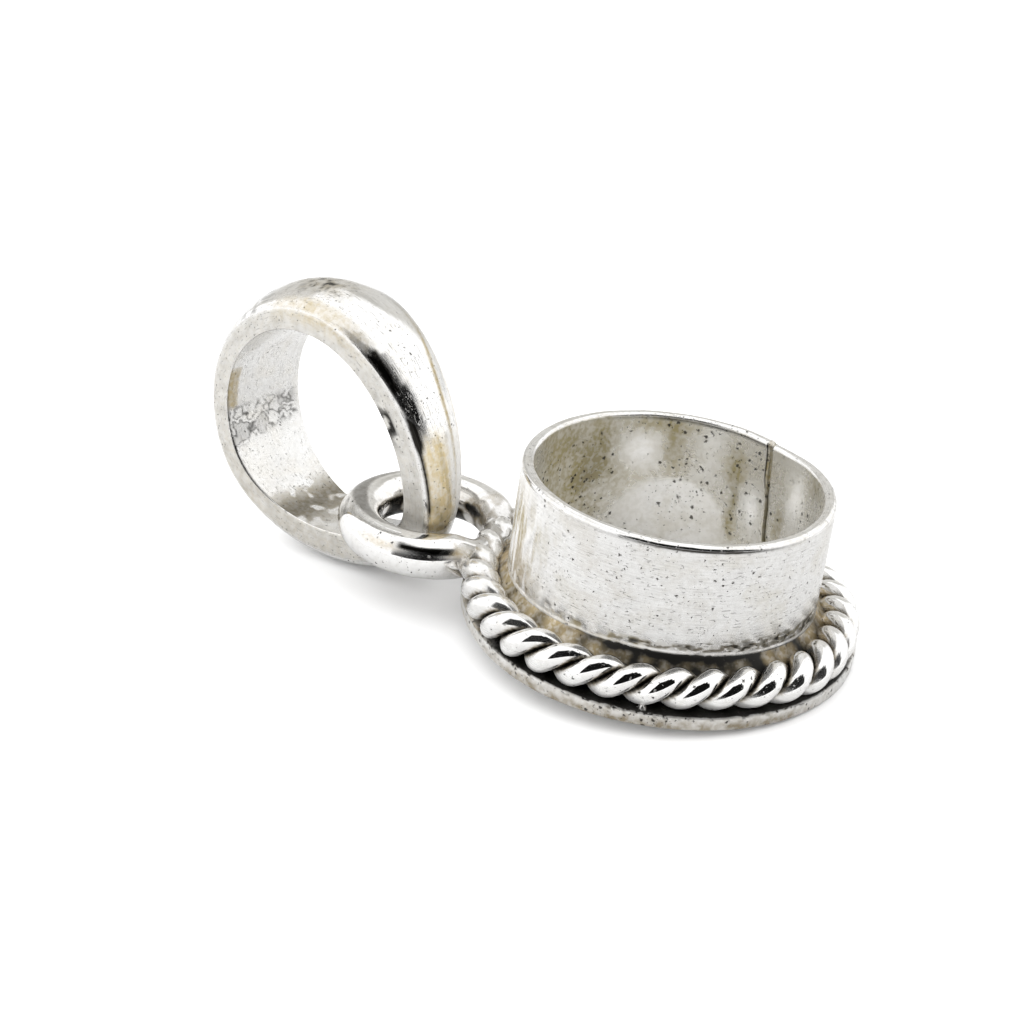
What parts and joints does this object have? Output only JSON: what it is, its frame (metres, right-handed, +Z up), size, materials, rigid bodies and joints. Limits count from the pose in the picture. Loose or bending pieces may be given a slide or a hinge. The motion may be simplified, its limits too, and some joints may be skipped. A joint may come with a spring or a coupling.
{
  "type": "pendant bezel setting",
  "caption": "Deep round bezel cup on a rope-edged plate with a jump ring and a loose tapered bail, for a round stone.",
  "frame": {"origin": "middle of the whole outline, on the surface the piece lies on", "axes": "+X from the bail to the cup, along the pendant; +Z up, as it lies on its back; +Y to the left of +X"},
  "size_m": [0.0262, 0.0146, 0.0112],
  "materials": {
    "setting_silver": "satin sterling silver with bright edges, tan tarnish in the recesses and fine dark pits",
    "bail_silver": "polished sterling silver with a warm tarnish on the dome and fine dark pits"
  },
  "bodies": {
    "root": {"setting": "setting_silver", "bail": "bail_silver"}
  },
  "joints": []
}
